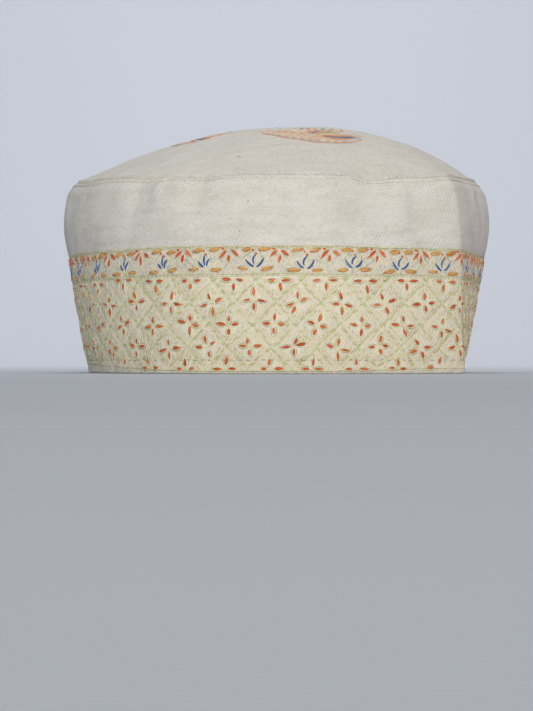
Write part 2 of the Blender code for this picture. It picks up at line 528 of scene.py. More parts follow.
def outward_at(surface, angle, level, turn, step):
    """Directions straight out from a surface, from small steps round it and up it."""
    round_way = surface(angle + turn, level) - surface(angle - turn, level)
    up_way = surface(angle, level + step) - surface(angle, np.maximum(level - step, 0.0005))
    return unit(np.cross(round_way, up_way))


def band_place(around, up):
    """Points and outward directions on the band."""
    angle = angle_at(around)
    level = up * MM / BAND_HEIGHT
    outward = outward_at(side_surface, angle, level, 0.004, 0.5 * MM / BAND_HEIGHT)
    return band_surface(angle, up), outward


def stitched_ground(name):
    """Twill under dense pale thread: cream and yellow-green, with a blush of pink near the flowers."""
    nodes = Nodes(name)
    threads = nodes.place("threads_mm")
    height, fuzz, rib = twill_height(nodes, threads, WALL_RIBS)
    ground = nodes.ramp(
        nodes.noise(threads, 0.40, 4.0, 0.7),
        (0.32, (216, 214, 162)), (0.43, (236, 231, 198)), (0.56, (247, 240, 223)), (0.70, (240, 220, 204)))
    specks = nodes.ramp(
        nodes.noise(threads, 1.5, 3.0, 0.75),
        (0.34, (190, 199, 140)), (0.46, (244, 243, 224)), (0.68, (236, 210, 198)))
    colour = nodes.mix(0.55, ground, specks)
    worked = nodes.place("worked")
    near_line, plain, blush = (nodes.along(worked, way) for way in np.eye(3))
    colour = nodes.shade(colour, 0.6, near_line, (0.0, WHITE), (1.0, (228, 231, 190)))
    colour = nodes.shade(colour, 0.7, blush, (0.0, WHITE), (1.0, (250, 244, 236)))
    in_border = nodes.math("GREATER_THAN", nodes.along(threads, (0, 1, 0)), BORDER_FOOT)
    clouds = nodes.ramp(nodes.noise(threads, 0.5, 3.0), (0.42, (250, 245, 238)), (0.62, (229, 232, 238)))
    colour = nodes.mix(1.0, colour, nodes.mix(in_border, tint(*WHITE), clouds), "MULTIPLY")
    colour = nodes.mix(plain, colour, tint(226, 220, 204))
    puff = nodes.noise(threads, 0.9, 2.0, 0.5)
    height = nodes.math("ADD", height, nodes.math("MULTIPLY", puff, 2.2))
    return nodes.finish(colour, height, 0.16 * MM, 0.90, 0.10)


# Heights of the rings of points in millimetres, and how far each is set in from the outer cloth
BAND_COLUMNS = 980
OUTER_ROWS = 54
outer_ups = np.append((0.0, 0.12, 0.42, 0.95), np.linspace(1.7, 49.0, OUTER_ROWS))
outer_depths = np.append((0.95, 0.50, 0.14, 0.0), np.zeros(OUTER_ROWS))
inner_ups = (49.0, 36.0, 24.0, 14.0, HEM_FOLD + 0.5, HEM_FOLD, 3.0, 0.95, 0.42, 0.12, 0.0)
inner_depths = np.array((2.0, 2.0, 2.0, 2.0, 2.0, 2.9, 2.7, 2.4, 2.28, 1.95, 1.5))
angles, ups = np.meshgrid(all_round(BAND_COLUMNS), outer_ups)
band_outer = band_surface(angles, ups) - round_points(angles, outer_depths[:, None] * MM, 0)
outer_flat = flat_place(angles, ups)
angles, ups = np.meshgrid(all_round(BAND_COLUMNS), inner_ups)
band_inner = side_surface(angles, ups * MM / BAND_HEIGHT)
band_inner = band_inner - round_points(angles, inner_depths[:, None] * MM, 0)
inner_flat = flat_place(angles, ups, INNER_FACE[2])
band = cloth_piece(
    "embroidered_band_cloth", stitched_ground("stitched_band_wool"),
    band_outer[:, :-1], band_inner[:, :-1], outer_flat, inner_flat,
)
around, up, face = np.concatenate((outer_flat, inner_flat))[:, :-1].reshape(-1, 3).T
wrapped = turn_from(0, around / AROUND * TURN) / TURN * AROUND
patchy = 0.72 + 0.28 * np.sin(around * 0.23 + 2.2 * np.sin(up * 0.21)) * np.sin(up * 0.31)
near_line = patchy * hump(np.minimum(*to_lines(wrapped, up)), 0, 0.46) * (up < BORDER_FOOT)
plain_hem = 1 - ease(-0.5, 0.3, up - hem_line(around))
off_rising, off_falling = (place - np.round(place) for place in trellis_place(wrapped, up))
from_heart = np.hypot((off_rising + off_falling) / 2 * COLUMN_PITCH, (off_rising - off_falling) * ROW_DROP)
blush = hump(from_heart, 5.2, 1.7) * (up < BORDER_FOOT)
mark(band, "worked", "POINT", coords(near_line, np.maximum(face > 0, plain_hem), blush))
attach(band, "root")
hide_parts("embroidered_band")


# Crown
# The oval top panel of the same twill, domed over the head and sewn to the wall all round.
# Its edge rolls down into the seam, and it lies a little unevenly where the needlework pulls it.
CROWN_RISE = 28 * MM
APEX_SHIFT = 10.5 * MM
DOME_POWER = 2.1
CROWN_LEVELS = 3.0


def crown_radius(angle, share):
    """Distance from the dome's shifting middle to the cloth, with the plan and the dents it comes from."""
    section = np.broadcast_to(SECTIONS[-1], (*np.shape(angle), 4))
    dent = soft_rows(DENTS, angle, 2 + CROWN_LEVELS * (1 - share)) * DENT_DEPTH
    plan = plan_radius(angle, section)
    creased = section[..., 3] * crease_height(angle) * share**CREASE_POWER
    return plan * share + creased - dent * share, plan, dent


def crown_surface(angle, share):
    """Points of the outer crown. Share is 1 at the seam and 0 at the dome's top."""
    radius, plan, dent = crown_radius(angle, share)
    fall = (CROWN_RISE + WALL_HEIGHT - seam_height(angle)) * share**DOME_POWER
    up = BAND_HEIGHT + WALL_HEIGHT + CROWN_RISE - fall - DENT_DROP * dent * share
    from_seam = (1 - share) * plan / MM
    relief = seam_relief(-from_seam) * MM
    points = round_points(angle, radius, up) + coords(APEX_SHIFT * (1 - share**2), 0, 0)
    across, back = points[..., 0] / MM, points[..., 1] / MM
    puckers = 0.22 * np.sin(37 * angle + 2) * hump(from_seam, 3.5, 2.5) * ease(0, 2, from_seam)
    waves = 0.30 * np.sin(across * 0.16 + 1.0) * np.cos(back * 0.13)
    waves = waves + 0.12 * np.sin(across * 0.37 - back * 0.31)
    uneven = (puckers + waves * ease(0, 10, from_seam)) * MM
    return points + round_points(angle, RELIEF_OUT * relief, uneven + RELIEF_UP * relief)


def crown_place(across, forward):
    """Points and outward directions on the crown, from a place in plan in millimetres."""
    x = across * MM
    y = -forward * MM
    share = np.full(np.shape(x), 0.5)
    for _ in range(14):
        shift = APEX_SHIFT * (1 - share**2)
        angle = np.arctan2(x - shift, -y)
        radius = crown_radius(angle, share)[0]
        share = np.clip(share * np.hypot(x - shift, y) / np.maximum(radius, 1e-6), 0.001, 1)
    return crown_surface(angle, share), outward_at(crown_surface, angle, share, -0.01, 0.01)


CROWN_COLUMNS = 760
edge_shares = 1 - np.linspace(0, 1, 18) ** 1.2 * 0.075
crown_shares = np.concatenate((edge_shares, np.linspace(0.905, 0.02, 38)))
angles, shares = np.meshgrid(all_round(CROWN_COLUMNS), crown_shares)
crown_outer = crown_surface(angles, shares)[:, :-1]
crown_flat = round_points(angles, crown_radius(angles, shares)[0] / MM, 0)
inner_rows = [0, 10, 17, 24, 31, 38, 46, 52, len(crown_shares) - 1]
top_point = crown_surface(np.zeros(1), np.zeros(1))[0]
# Painted shade: the crown's colours are the wall twill's colours made about 4% darker.
crown = cloth_piece(
    "crown_cloth_panel",
    wool_twill("crown_twill_painted_shade", (240, 237, 230), (232, 229, 221), (219, 216, 207), CROWN_RIBS),
    crown_outer, inside_of(crown_outer, CLOTH_THICKNESS)[inner_rows][::-1],
    crown_flat, crown_flat[inner_rows][::-1] + INNER_FACE,
    tips=(top_point, top_point - (0, 0, CLOTH_THICKNESS)),
)
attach(crown, "root")
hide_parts("crown_top")


# Topstitching under the crown's seam
# One row of cream cotton thread, about 2 mm below the seam, that holds the turned allowance down.
# Each stitch dips into the cloth at both ends. Darker thread in the needle holes between stitches is painted
# shade, and along the seam's groove it is the seam's thread darkened as painted shade.
rng = np.random.default_rng(41)
THREAD_FLATNESS = 0.8


def tubes(path, outward, half, tone, sides):
    """Threads along paths: points, faces, and each point's place along, across and tone.

    The arrays are threads by steps. Half is half a thread's width in metres, and its ends dive in.
    """
    count, steps = path.shape[:2]
    ends = [0, -1]
    along = unit(np.gradient(path, axis=1))
    across = unit(np.cross(along, outward))
    turn = (np.arange(sides) + 0.5) / sides * TURN
    wide = across[:, :, None] * np.cos(turn)[:, None]
    high = outward[:, :, None] * np.sin(turn)[:, None] * THREAD_FLATNESS
    rings = path[:, :, None] + (wide + high) * half[..., None, None]
    dive = 1.4 * half[:, ends, None] * outward[:, ends]
    stretch = 0.6 * half[:, ends, None] * along[:, ends] * np.array((-1, 1))[:, None]
    points = np.concatenate((rings.reshape(count, -1, 3), path[:, ends] - dive + stretch), axis=1)
    first, side = np.meshgrid(np.arange(steps - 1) * sides, np.arange(sides), indexing="ij")
    after = (side + 1) % sides
    quads = coords(first + side, first + sides + side, first + sides + after, first + after).reshape(-1, 4)
    side, after, last = side[0], after[0], (steps - 1) * sides
    start_fan = coords(side, after, steps * sides)
    end_fan = coords(last + after, last + side, steps * sides + 1)
    fans = np.concatenate((start_fan, end_fan))
    base = np.arange(count)[:, None, None] * points.shape[1]
    reach = reach_along(path) / MM
    place = coords(reach[:, :, None], np.cos(turn), tone[:, None, None]).reshape(count, -1, 3)
    places = np.concatenate((place, coords(reach[:, ends], 0, tone[:, None])), axis=1)
    quads, fans = (base + quads).reshape(-1, 4), (base + fans).reshape(-1, 3)
    return points.reshape(-1, 3), quads, fans, places.reshape(-1, 3)


def sewn(place, path, half, tone, rise=0.55, sides=4):
    """Threads on a surface, from paths in its own two coordinates. Half widths are in millimetres.

    From a pair of tones, each thread takes its own tone between them.
    """
    if isinstance(tone, tuple):
        tone = rng.uniform(*tone, len(path))
    points, outward = place(path[..., 0], path[..., 1])
    along = np.linspace(0, 1, path.shape[1])
    half = np.full(path.shape[:2], half * MM)
    arch = (rise + 0.35 * np.sin(math.pi * along)) - 0.75 * (np.abs(2 * along - 1) ** 6)
    taper = 1 - 0.35 * np.abs(2 * along - 1) ** 4
    return tubes(points + outward * (arch * half)[..., None], outward, half * taper, tone, sides)


def thread_piece(name, material, *batches, slot="band_cloth"):
    """One piece made of all these batches of threads."""
    count = 0
    shifted = []
    for points, quads, triangles, places in batches:
        shifted.append((points, quads + count, triangles + count, places))
        count += len(points)
    points, quads, triangles, places = (np.concatenate(parts) for parts in zip(*shifted))
    piece = new_piece(name, points, quads, triangles, material)
    mark(piece, "strand", "POINT", places)
    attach(piece, "root")


def floss(name, *colours, twist=0.7, roughness=0.55):
    """Twisted embroidery thread. Each stitch takes its own tone from the row of colours."""
    nodes = Nodes(name)
    strand = nodes.place("strand")
    tone = nodes.along(strand, (0, 0, 1))
    worn = nodes.math("MULTIPLY", nodes.math("SUBTRACT", nodes.noise(strand, 1.1, 2.0), 0.5), 0.5)
    stops = [(n / (len(colours) - 1), colour) for n, colour in enumerate(colours)]
    colour = nodes.ramp(nodes.math("ADD", tone, worn), *stops)
    ply = nodes.along(strand, (TURN / twist, 2.2, 0))
    ply = nodes.math("SINE", nodes.math("ADD", ply, nodes.noise(strand, 2.0)))
    # Painted shade: each thread is darker in the grooves between its plies.
    raised = nodes.math("ADD", nodes.math("MULTIPLY", ply, 0.5), 0.5)
    colour = nodes.shade(colour, 0.5, raised, (0.0, (205, 205, 205)), (0.7, WHITE))
    return nodes.finish(colour, ply, 0.05 * MM, roughness, 0.15)


def crosswise(way):
    """The same ways on the flat cloth, turned a quarter to the left."""
    return coords(-way[..., 1], way[..., 0])


def lines(starts, ends, steps=4, bow=0.0):
    """Straight or slightly bowed paths from starts to ends."""
    along = np.linspace(0, 1, steps)[None, :, None]
    way = (ends - starts)[:, None]
    return starts[:, None] + way * along + np.sin(math.pi * along) * crosswise(way) * bow


def starts_round(pitch):
    """Where stitches start all round the cap, when they lie about this far apart."""
    count = round(AROUND / pitch)
    return np.arange(count) * AROUND / count


def seam_place(around, below):
    """Points and outward directions on the wall, from the distance below the crown's seam."""
    angle = angle_at(around)
    level = 2 - below * MM / WALL_HEIGHT
    return side_surface(angle, level), outward_at(side_surface, angle, level, 0.004, 0.02)


TOPSTITCH_PITCH = 2.15
TOPSTITCH_BELOW = 1.75
starts = starts_round(TOPSTITCH_PITCH)
count = len(starts)
starts = starts + rng.uniform(-0.12, 0.12, count)
stops = starts + TOPSTITCH_PITCH * rng.uniform(0.62, 0.78, count)
below = TOPSTITCH_BELOW + 0.25 * np.sin(starts * 0.13) + rng.uniform(-0.07, 0.07, count)
# Painted shade: dark thread in the needle holes between the stitches.
hole_shade = lines(coords(stops + 0.10, below), coords(starts + TOPSTITCH_PITCH - 0.10, below), 3)
hole_shade = sewn(seam_place, hole_shade, 0.23, (0, 0.5), rise=0.3)
stitches = sewn(seam_place, lines(coords(starts, below), coords(stops, below), 5), 0.20, (0, 1), 0.3, sides=6)
cream_cotton = floss("cream_cotton_thread", (214, 206, 192), (232, 226, 212), (240, 235, 222))
thread_piece("crown_seam_topstitch", cream_cotton, stitches, slot="wall_cloth")
# Painted shade: a thread along the seam's groove, the seam's own thread darkened to stand for the shade in the
# groove.
GROOVE_PITCH = AROUND / 260
groove_starts = coords(starts_round(GROOVE_PITCH), 0)
groove = lines(groove_starts, groove_starts + (GROOVE_PITCH * 1.05, 0), 3)
groove = sewn(seam_place, groove, 0.19, (0.5, 1), rise=0.9)
seam_shade_thread = floss("seam_shade_thread", (150, 138, 114), (196, 188, 166), (230, 225, 212))
thread_piece("crown_seam_shade_threads", seam_shade_thread, hole_shade, groove, slot="wall_cloth")


# Trellis
# Lines that cross the band both ways and leave a diamond for each flower. Each is three fine rows of
# stitches side by side, the middle one paler, in yellow-green thread that sinks into the wool.
TRELLIS_STITCH = 1.75
TRELLIS_GAP = 0.58

# Which side of the line each row lies on, half its thread's width, and its tones
TRELLIS_ROWS = ((-1, 0.16, (0.0, 0.30)), (0, 0.22, (0.70, 1.0)), (1, 0.15, (0.0, 0.35)))
trellis_lines = []
stitch = TRELLIS_STITCH / COLUMN_PITCH / DIAGONAL * 2
for direction in (1, -1):
    for side, half, tones in TRELLIS_ROWS:
        halves = np.arange(-4, FLOWER_COLUMNS + 5) + 0.5
        grid = np.meshgrid(halves, np.arange(0, 3, stitch), indexing="ij")
        number, fall = grid[0].ravel(), grid[1].ravel()
        number = number + side * TRELLIS_GAP / COLUMN_PITCH * DIAGONAL / 2
        fall = fall + rng.uniform(-0.012, 0.012, number.size)
        ends = []
        for part in (0.0, 0.86):
            up = BORDER_FOOT - 0.4 - 2 * ROW_DROP * (fall + part * stitch)
            column = number - direction * (up - FIRST_ROW_UP) / (2 * ROW_DROP)
            wobble = 0.50 * np.sin(up * 0.33 + number * 2.1)
            wobble = wobble + 0.26 * np.sin(up * 0.95 + number * 1.7 + 0.9 * side)
            ends.append(coords(around_of(column, up) + wobble, up))
        starts, stops = ends
        kept = (stops[:, 1] > hem_line(stops[:, 0]) + 0.2) & (starts[:, 1] < BORDER_FOOT)
        first = around_of(0, starts[:, 1]) - AROUND / 2
        kept &= (starts[:, 0] >= first) & (starts[:, 0] < first + AROUND)
        kept &= rng.uniform(0, 1, len(kept)) < 0.95 - 0.10 * abs(side)
        trellis_lines.append(sewn(band_place, lines(starts[kept], stops[kept], 3), half, tones, rise=0.25))
pale_green_floss = floss("pale_green_floss", (170, 174, 98), (204, 206, 134), (248, 246, 184), (254, 252, 210))
thread_piece("trellis_lines", pale_green_floss, *trellis_lines)


# Flowers of the trellis
# Small four-petalled flowers, one in each diamond, with half flowers along the top and the hem.
# Each petal is satin stitched in red and orange silk, edged in pale thread, and joined to the flower's
# middle by a pale stitch. Olive thread just outside the pale edges is painted shade round the petal.
PETAL_WAYS = ((1, 0), (0, 1), (-1, 0), (0, -1))
TOP_ROW = 0
HEM_ROW = 4
PETAL_STRANDS = 4

# Number of the row, how far it is shifted in columns, and which petals its flowers have
ROWS = (
    (TOP_ROW, 0.0, (0, 2, 3)),
    (1, 0.5, (0, 1, 2, 3)),
    (2, 0.0, (0, 1, 2, 3)),
    (3, 0.5, (0, 1, 2, 3)),
    (HEM_ROW, 0.0, (0, 1, 2)),
)


def satin_leaf(leaves, strands, swell=0.85, point=0.9):
    """Paths of parallel strands that fill leaves, each a row of its base, tip and half width."""
    along = np.linspace(0, 1, 5)
    swelling = np.sin(math.pi * np.clip(along, 0.04, 0.96) ** swell) ** point
    offset = np.linspace(-0.80, 0.80, strands)[None, :, None]
    way = (leaves[:, 2:4] - leaves[:, 0:2])[:, None, None]
    spread = offset * swelling * leaves[:, 4, None, None]
    short = np.abs(offset) * 0.07
    begin = short + rng.uniform(-0.08, 0.10, (len(leaves), strands, 1))
    end = 1 - short + rng.uniform(-0.12, 0.08, (len(leaves), strands, 1))
    reach = begin + (end - begin) * along
    path = leaves[:, None, None, 0:2] + way * reach[..., None] + spread[..., None] * unit(crosswise(way))
    return path.reshape(-1, len(along), 2)


def outline_of(leaves, wider, longer):
    """Paths along both edges of leaves, a little outside them."""
    way = leaves[:, 2:4] - leaves[:, 0:2]
    along = np.linspace(0, 1, 6)
    bulge = np.sin(math.pi * np.clip(along, 0.03, 0.97) ** 0.85) ** 0.75
    middle = lines(leaves[:, 0:2] - unit(way) * longer, leaves[:, 2:4] + unit(way) * longer, len(along))
    wide = ((leaves[:, 4] + wider)[:, None] * bulge)[..., None] * crosswise(unit(way))[:, None]
    return np.concatenate((middle - wide, middle + wide))


centres, petals, petal_hearts = [], [], []
for row, start_column, ways in ROWS:
    up = FIRST_ROW_UP - ROW_DROP * row
    for column in range(FLOWER_COLUMNS):
        place = column + start_column - FLOWER_COLUMNS // 2
        middle = np.array((around_of(place, up), up)) + rng.normal(0, 0.32, 2)
        if row == HEM_ROW:
            middle[1] = up + 0.35 + rng.uniform(-0.25, 0.25)
        centres.append(middle)
        lean = rng.normal(0, 0.12)
        for way in ways:
            angle = math.atan2(PETAL_WAYS[way][1], PETAL_WAYS[way][0]) + lean + rng.normal(0, 0.17)
            level = way in (0, 2)
            long = rng.uniform(2.5, 4.1) if level else rng.uniform(2.2, 3.6)
            gap = rng.uniform(0.9, 1.8) if level else rng.uniform(0.8, 1.6)
            out = np.array((math.cos(angle), math.sin(angle)))
            if row in (TOP_ROW, HEM_ROW) and level:
                out[1] = 0.12 * out[1]
            base, tip = middle + out * gap, middle + out * (gap + long)
            if min(base[1], tip[1]) > hem_line(middle[0]) + 0.25:
                petals.append((*base, *tip, rng.uniform(0.34, 0.62)))
                petal_hearts.append(middle)
petals = np.array(petals)
petal_hearts = np.array(petal_hearts)
paths = satin_leaf(petals, PETAL_STRANDS)
tones = np.tile((0.0, 0.45, 0.65, 0.10), len(petals)) + rng.uniform(-0.2, 0.25, len(paths))
tones = np.clip(tones + np.repeat(rng.uniform(-0.1, 0.3, len(petals)), PETAL_STRANDS), 0, 1)
SILK = {"twist": 0.9, "roughness": 0.45}
red_silk = floss("red_orange_silk", (196, 62, 26), (224, 86, 40), (240, 122, 64), (248, 168, 112), **SILK)
thread_piece("flower_petals", red_silk, sewn(band_place, paths, 0.23, tones, rise=0.35))

heart_starts = petals[:, 0:2] * 0.7 + petal_hearts * 0.3
heart_ends = petal_hearts + rng.normal(0, 0.25, (len(petals), 2))
# Painted shade: olive threads just outside the pale outlines stand for the shade round each petal.
edges = outline_of(petals, 0.66, 0.75)
edges = edges[rng.uniform(0, 1, len(edges)) < 0.45]
olive_edge_shade = floss("olive_edge_shade_floss", (180, 170, 116), (200, 188, 138), (216, 184, 158))
thread_piece("flower_edge_shade", olive_edge_shade, sewn(band_place, edges, 0.11, (0, 1), rise=0.2))
pale_yellow = floss("pale_yellow_floss", (240, 236, 158), (252, 248, 190), (254, 252, 226))
outlines = sewn(band_place, outline_of(petals, 0.34, 0.5), 0.20, (0.2, 1), rise=0.5)
hearts = sewn(band_place, lines(heart_starts, heart_ends, 3), 0.19, (0, 1))
thread_piece("flower_outlines", pale_yellow, outlines, hearts)


# Ground stitches
# Running stitches that echo the diamonds round each flower, and seed stitches that fill the band and
# its border. Cream, pale yellow-green and a dusty pink thread are mixed, each about a millimetre long.
ECHOES = ((0.355, 4), (0.22, 2))
ECHO_CORNERS = np.array(((1, 0), (0, -1), (-1, 0), (0, 1)))
SEEDS = 2700
BORDER_SEEDS = 760
ground_batches, pink_batches = [], []


def sew_ground(paths, pink_share, pale, pink, rise):
    """Sews some stitches in pink and the rest in pale thread, each with its half width and tones."""
    is_pink = rng.uniform(0, 1, len(paths)) < pink_share
    ground_batches.append(sewn(band_place, paths[~is_pink], *pale, rise))
    pink_batches.append(sewn(band_place, paths[is_pink], *pink, rise))


def scattered(count, low, high):
    """Places all over the band between two heights."""
    return coords(rng.uniform(-AROUND / 2, AROUND / 2, count), rng.uniform(low, high, count))


def seed_stitches(starts, slant, shortest, longest):
    length = rng.uniform(shortest, longest, len(starts))
    return lines(starts, starts + coords(np.cos(slant), np.sin(slant)) * length[:, None], 3)


starts, stops = [], []
for centre in centres:
    for echo, count in ECHOES:
        corners = ECHO_CORNERS * echo * COLUMN_PITCH
        for corner, after in zip(corners, np.roll(corners, -1, axis=0)):
            for n in range(count):
                a = corner + (after - corner) * (n + 0.12 + rng.uniform(-0.05, 0.05)) / count
                b = corner + (after - corner) * (n + 0.80 + rng.uniform(-0.08, 0.08)) / count
                if echo < 0.3 and np.abs(a + b).min() < 2.2:
                    continue
                starts.append(centre + a + rng.normal(0, 0.1, 2))
                stops.append(centre + b + rng.normal(0, 0.1, 2))
starts, stops = np.array(starts), np.array(stops)
kept = np.minimum(starts[:, 1], stops[:, 1]) > 0.9
kept &= np.maximum(starts[:, 1], stops[:, 1]) < BORDER_FOOT - 0.8
kept &= starts[:, 1] > hem_line(starts[:, 0]) + 0.4
sew_ground(lines(starts[kept], stops[kept], 3), 0.30, (0.17, (0, 1)), (0.16, (0, 1)), 0.25)

starts = scattered(SEEDS, 1.2, BORDER_FOOT - 1.0)
rising, falling = trellis_place(*starts.T)
from_flower = np.maximum(np.abs((rising + 0.5) % 1 - 0.5), np.abs((falling + 0.5) % 1 - 0.5))
kept = (from_flower > 0.16) & (from_flower < 0.45) & (starts[:, 1] > hem_line(starts[:, 0]) + 0.4)
starts = starts[kept]
slant = np.where(rng.uniform(0, 1, len(starts)) < 0.5, 1, -1) * math.pi / 4 + rng.normal(0, 0.25, len(starts))
sew_ground(seed_stitches(starts, slant, 0.8, 1.6), 0.35, (0.15, (0.25, 1)), (0.15, (0, 1)), 0.2)
starts = scattered(BORDER_SEEDS, BORDER_FOOT + 1.0, BORDER_TOP - 1.0)
slant = rng.uniform(0, TURN, BORDER_SEEDS)
sew_ground(seed_stitches(starts, slant, 0.7, 1.5), 0.35, (0.16, (0, 1)), (0.15, (0, 0.6)), 0.2)
cream_ground = floss("cream_ground_floss", (176, 184, 96), (216, 218, 134), (244, 240, 186), (254, 252, 232))
dusty_pink = floss("dusty_pink_floss", (218, 172, 160), (230, 196, 182), (240, 220, 206))
thread_piece("ground_stitches", cream_ground, *ground_batches)
thread_piece("ground_stitches_pink", dusty_pink, *pink_batches)


# Border lines
# Stem-stitched lines that close the flower border above and below, and one more that runs along
# the hem and climbs away from it towards the sides. All are in muted green thread.
starts = starts_round(1.9) - AROUND / 2
at = np.stack((starts, starts + AROUND / len(starts) * 1.08))
green_lines = []
for ups, half, tones in (
    (BORDER_TOP + 0.20 * np.sin(at * 0.11) + 0.10 * np.sin(at * 0.57), 0.20, (0.15, 0.65)),
    (BORDER_TOP - 0.62 + 0.20 * np.sin(at * 0.11 + 0.2) + 0.08 * np.sin(at * 0.7), 0.16, (0.55, 1.0)),
    (BORDER_FOOT + 0.30 + 0.16 * np.sin(at * 0.13 + 1.0), 0.20, (0.35, 0.8)),
    (BORDER_FOOT - 0.38 + 0.16 * np.sin(at * 0.13 + 1.2), 0.18, (0.45, 1.0)),
    (hem_line(at), 0.20, (0.3, 0.85)),
):
    paths = lines(*coords(at, ups + rng.normal(0, 0.05, at.shape)))
    green_lines.append(sewn(band_place, paths, half, tones, rise=0.4))
green_floss = floss("muted_green_floss", (158, 166, 102), (186, 191, 126), (214, 214, 156), (234, 230, 186))
thread_piece("border_lines", green_floss, *green_lines)


# Border flowers
# A row of open and closed blue tulips, with a red fan of petals between each pair and red dots above
# them, all in satin stitch. Orange leaves hang under the top line and lie along the bottom one.
# All are edged in cream, and fine cream and grey-green vines run between them.
BORDER_REPEATS = 31
BORDER_PITCH = AROUND / BORDER_REPEATS
BORDER_START = -8.2
TULIP_UP = BORDER_FOOT + 2.5
LEAF_UP = BORDER_TOP - TULIP_UP

# Where each stroke starts, bends and ends from the foot of its tulip, and half its width
OPEN_TULIP = (
    (-0.4, 0.0, -2.2, 0.5, -3.3, 2.9, 0.34),
    (0.5, 0.0, 2.4, 0.6, 3.4, 3.2, 0.36),
    (-0.3, 1.0, -1.3, 3.2, 0.8, 4.5, 0.28),
)
CLOSED_TULIP = (
    (-0.5, 0.2, -1.7, 0.8, -2.3, 2.3, 0.30),
    (-0.2, 1.0, -0.5, 3.0, 0.2, 4.9, 0.32),
    (0.7, 0.5, 0.8, 2.4, 2.2, 3.6, 0.32),
)
STROKE_SWAY = np.array(((1.7, 2.9), (4.3, 5.1), (6.7, 7.9)))

# Base, tip and half width of each leaf, from the top of its fan or the foot of its tulip
FAN = (
    (-0.5, -0.5, -3.9, -3.5, 0.50),
    (0.8, -0.5, 3.7, -3.0, 0.58),
    (0.0, -2.3, -0.3, -5.2, 0.52),
    (-1.6, -0.2, -3.2, 0.1, 0.30),
)
RED_DOTS = ((0.4, 4.6, 0.7, 5.5, 0.36), (-0.9, 5.9, -0.3, 6.5, 0.3))
ORANGE_LEAVES = (
    (-0.6, LEAF_UP - 1.1, -5.1, LEAF_UP - 2.2, 0.80),
    (1.7, LEAF_UP - 2.0, 6.2, LEAF_UP - 1.2, 0.80),
    (-2.2, -0.8, -6.8, -1.0, 0.72),
    (2.3, -1.0, 6.8, -0.6, 0.72),
)
VINES = np.array((
    (-3.9, 2.9, -1.2, 6.2), (3.9, 3.1, 1.4, 6.4), (-0.4, -2.2, -0.2, 0.0), (0.3, -2.3, 0.3, 0.1),
    (-8.6, 3.6, -4.4, 0.4), (8.2, 3.4, 4.6, 0.4), (-6.2, 6.0, -8.2, 3.9), (6.4, 6.1, 8.4, 4.0),
    (-9.2, 6.6, -6.4, 3.4), (9.4, 6.6, 6.6, 3.2), (-9.0, 1.6, -7.4, -0.6), (8.8, 1.8, 7.6, -0.4),
    (-5.2, 4.6, -3.6, 6.4), (5.4, 4.4, 4.0, 6.2), (-2.4, 0.6, -3.6, 1.4), (2.2, 0.4, 3.8, 1.2),
    (-1.4, 3.6, -0.9, 5.2), (1.5, 3.8, 0.9, 5.4), (-6.8, 2.0, -5.0, 2.6), (6.6, 1.8, 5.2, 2.8),
))


def motif(strokes, origins, jitter=0.16):
    """The leaves of a motif, repeated at each origin with a little unevenness."""
    rows = []
    for origin in origins:
        for *ends, half in strokes:
            ends = ends + np.tile(origin, 2) + rng.normal(0, jitter, 4)
            rows.append((*ends, half * rng.uniform(0.85, 1.15)))
    return np.array(rows)


def tulip_sides(wider):
    """Paths along both sides of every tulip's bent strokes, this much wider than they are."""
    t = np.linspace(0, 1, 7)[:, None]
    bulge = np.sin(math.pi * np.clip(t, 0.06, 0.94)) ** 0.6
    paths = []
    for strokes, feet, side in tulip_kinds:
        for foot in feet:
            for *places, half in strokes:
                sway = 0.22 * np.sin(STROKE_SWAY * (foot[0] + 3 * places[0]))
                start, bend, end = np.reshape(places, (3, 2)) + foot + sway
                path = (1 - t) ** 2 * start + 2 * t * (1 - t) * bend + t**2 * end
                way = unit(np.gradient(path, axis=0))
                paths.append(path + crosswise(way) * side * (half + wider) * bulge)
    return np.array(paths)


tulips = (np.arange(BORDER_REPEATS) - BORDER_REPEATS // 2) * BORDER_PITCH + BORDER_START
tulips = tulips + rng.normal(0, 0.45, BORDER_REPEATS)
tulip_feet = coords(tulips, TULIP_UP + rng.normal(0, 0.2, BORDER_REPEATS))
is_closed = (tulips < -22) | (tulips > 150)
tulip_kinds = [
    (strokes, feet, side)
    for strokes, feet in ((OPEN_TULIP, tulip_feet[~is_closed]), (CLOSED_TULIP, tulip_feet[is_closed]))
    for side in (-1, 1)
]
blue_silk = floss("blue_silk", (36, 76, 146), (54, 98, 168), (88, 130, 188), (146, 174, 200), **SILK)
thread_piece("border_tulips", blue_silk, sewn(band_place, tulip_sides(-0.14), 0.25, (0.1, 0.7), rise=0.45))

fans = motif(FAN, coords(tulips + BORDER_PITCH / 2, BORDER_TOP - 0.7))
red_leaves = np.concatenate((fans, motif(RED_DOTS, tulip_feet)))
thread_piece("border_fans", red_silk, sewn(band_place, satin_leaf(red_leaves, 3), 0.26, (0.2, 0.9)))

leaves = motif(ORANGE_LEAVES, tulip_feet, 0.34)
filled = sewn(band_place, satin_leaf(leaves, 4, point=1.6), 0.24, (0.3, 1), rise=0.45)
edged = sewn(band_place, outline_of(leaves, -0.12, 0.1), 0.16, (0, 0.25), rise=0.5)
orange_silk = floss("orange_silk", (190, 96, 38), (222, 140, 58), (240, 180, 92), (246, 202, 132), **SILK)
thread_piece("border_leaves", orange_silk, filled, edged)

